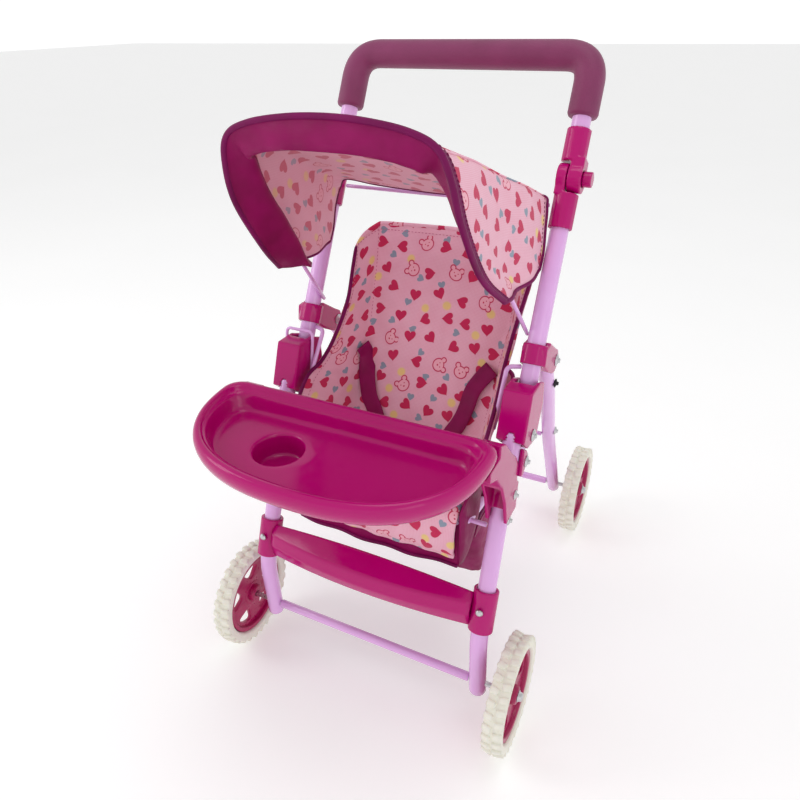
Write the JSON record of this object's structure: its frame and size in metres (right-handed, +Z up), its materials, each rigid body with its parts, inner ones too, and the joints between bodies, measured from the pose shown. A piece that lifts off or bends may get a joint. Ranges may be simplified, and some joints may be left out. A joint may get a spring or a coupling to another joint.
{
  "type": "doll stroller",
  "caption": "Folding toy stroller for dolls: painted tube frame on foam-tyred wheels, fabric seat with basket and canopy, D-shaped snack tray, footrest and foam-covered push bar.",
  "frame": {"origin": "middle of the whole object's footprint, on the floor", "axes": "+Z up, -Y towards the front where the tray and footrest are, +X to the right seen from the front"},
  "size_m": [0.311, 0.521, 0.588],
  "materials": {
    "magenta_plastic": "glossy injection-moulded ABS",
    "crimson_plastic": "semi-gloss moulded hub",
    "lavender_paint": "glossy powder-coated steel tube",
    "plum_foam": "fine closed-cell foam sleeve",
    "cream_foam": "moulded EVA foam tyre",
    "zinc_steel": "zinc-plated steel",
    "printed_fabric": "thin woven polyester with a small printed motif",
    "plum_fabric": "thin satin-woven polyester"
  },
  "bodies": {
    "front_frame": {"front_leg_left": "lavender_paint", "front_leg_right": "lavender_paint", "fold_bracket_left": "magenta_plastic", "fold_bracket_right": "magenta_plastic", "fold_pin_left": "zinc_steel", "fold_pin_right": "zinc_steel", "leg_clamp_left": "magenta_plastic", "leg_clamp_right": "magenta_plastic", "leg_clamp_bolt_left": "zinc_steel", "leg_clamp_bolt_right": "zinc_steel", "tray": "magenta_plastic", "tray_bracket_left": "magenta_plastic", "tray_bracket_right": "magenta_plastic", "tray_bracket_screw_left": "zinc_steel", "tray_bracket_screw_right": "zinc_steel", "footrest": "magenta_plastic", "footrest_screw_left": "zinc_steel", "footrest_screw_right": "zinc_steel", "front_axle": "zinc_steel", "front_axle_tube": "lavender_paint", "front_axle_cap_left": "zinc_steel", "front_axle_cap_right": "zinc_steel", "seat_bottom": "printed_fabric"},
    "lock_bail": {"lock_bail": "lavender_paint"},
    "push_frame": {"push_tube_left": "lavender_paint", "push_tube_right": "lavender_paint", "leg_hanger_left": "magenta_plastic", "leg_hanger_right": "magenta_plastic", "hinge_lower_left": "magenta_plastic", "hinge_lower_right": "magenta_plastic", "canopy_rod": "lavender_paint", "hem_rod_left": "lavender_paint", "hem_rod_right": "lavender_paint", "seat_back": "printed_fabric", "canopy": "printed_fabric"},
    "rear_legs": {"rear_leg_left": "lavender_paint", "rear_leg_right": "lavender_paint", "leg_hanger_bolt_left": "zinc_steel", "leg_hanger_bolt_right": "zinc_steel", "rear_axle": "zinc_steel", "rear_axle_tube": "lavender_paint", "rear_axle_cap_left": "zinc_steel", "rear_axle_cap_right": "zinc_steel"},
    "seat_frame": {"seat_rail": "lavender_paint", "basket": "plum_fabric"},
    "handle": {"hinge_upper_left": "magenta_plastic", "hinge_upper_right": "magenta_plastic", "handle_bar": "lavender_paint", "handle_grip": "plum_foam"},
    "button_left": {"hinge_button_left": "magenta_plastic"},
    "button_right": {"hinge_button_right": "magenta_plastic"},
    "canopy_bow": {"canopy_bow": "lavender_paint"},
    "front_wheel_left": {"front_tyre_left": "cream_foam", "front_hub_left": "crimson_plastic"},
    "front_wheel_right": {"front_tyre_right": "cream_foam", "front_hub_right": "crimson_plastic"},
    "rear_wheel_left": {"rear_tyre_left": "cream_foam", "rear_hub_left": "crimson_plastic"},
    "rear_wheel_right": {"rear_tyre_right": "cream_foam", "rear_hub_right": "crimson_plastic"}
  },
  "joints": [
    {"name": "fold", "type": "hinge", "parent": "front_frame", "child": "push_frame", "pos_m": [0, -0.058, 0.283], "axis": [-1, 0, 0], "range_deg": [0, 100], "deforming": ["seat_back"]},
    {"name": "rear_leg_fold", "type": "hinge", "parent": "push_frame", "child": "rear_legs", "pos_m": [0, 0.007, 0.326], "axis": [1, 0, 0], "range_deg": [0, 78]},
    {"name": "seat_rail_fold", "type": "hinge", "parent": "front_frame", "child": "seat_frame", "pos_m": [0, -0.1, 0.209], "axis": [-1, 0, 0], "range_deg": [0, 48.5], "deforming": ["basket"]},
    {"name": "handle_fold", "type": "hinge", "parent": "push_frame", "child": "handle", "pos_m": [0, 0.041, 0.481], "axis": [-1, 0, 0], "range_deg": [0, 100]},
    {"name": "button_press_left", "type": "slide", "parent": "handle", "child": "button_left", "axis": [1, 0, 0], "range_m": [0, 0.003], "stiffness_N_per_m": 400},
    {"name": "button_press_right", "type": "slide", "parent": "handle", "child": "button_right", "axis": [-1, 0, 0], "range_m": [0, 0.003], "stiffness_N_per_m": 400},
    {"name": "canopy_fold", "type": "hinge", "parent": "push_frame", "child": "canopy_bow", "pos_m": [0, -0.018, 0.358], "axis": [-1, 0, 0], "range_deg": [0, 50], "deforming": ["canopy"]},
    {"name": "bail_swing", "type": "hinge", "parent": "front_frame", "child": "lock_bail", "pos_m": [0, -0.054, 0.3], "axis": [1, 0, 0], "range_deg": [0, 75]},
    {"name": "front_wheel_left_spin", "type": "hinge", "parent": "front_frame", "child": "front_wheel_left", "pos_m": [0, -0.13, 0.054], "axis": [1, 0, 0], "continuous": true},
    {"name": "front_wheel_right_spin", "type": "hinge", "parent": "front_frame", "child": "front_wheel_right", "pos_m": [0, -0.13, 0.054], "axis": [1, 0, 0], "continuous": true},
    {"name": "rear_wheel_left_spin", "type": "hinge", "parent": "rear_legs", "child": "rear_wheel_left", "pos_m": [0, 0.207, 0.054], "axis": [1, 0, 0], "continuous": true},
    {"name": "rear_wheel_right_spin", "type": "hinge", "parent": "rear_legs", "child": "rear_wheel_right", "pos_m": [0, 0.207, 0.054], "axis": [1, 0, 0], "continuous": true}
  ],
  "couplings": [
    {"joint": "rear_leg_fold", "follows": "fold", "ratio": 0.775},
    {"joint": "seat_rail_fold", "follows": "fold", "ratio": 0.479}
  ]
}
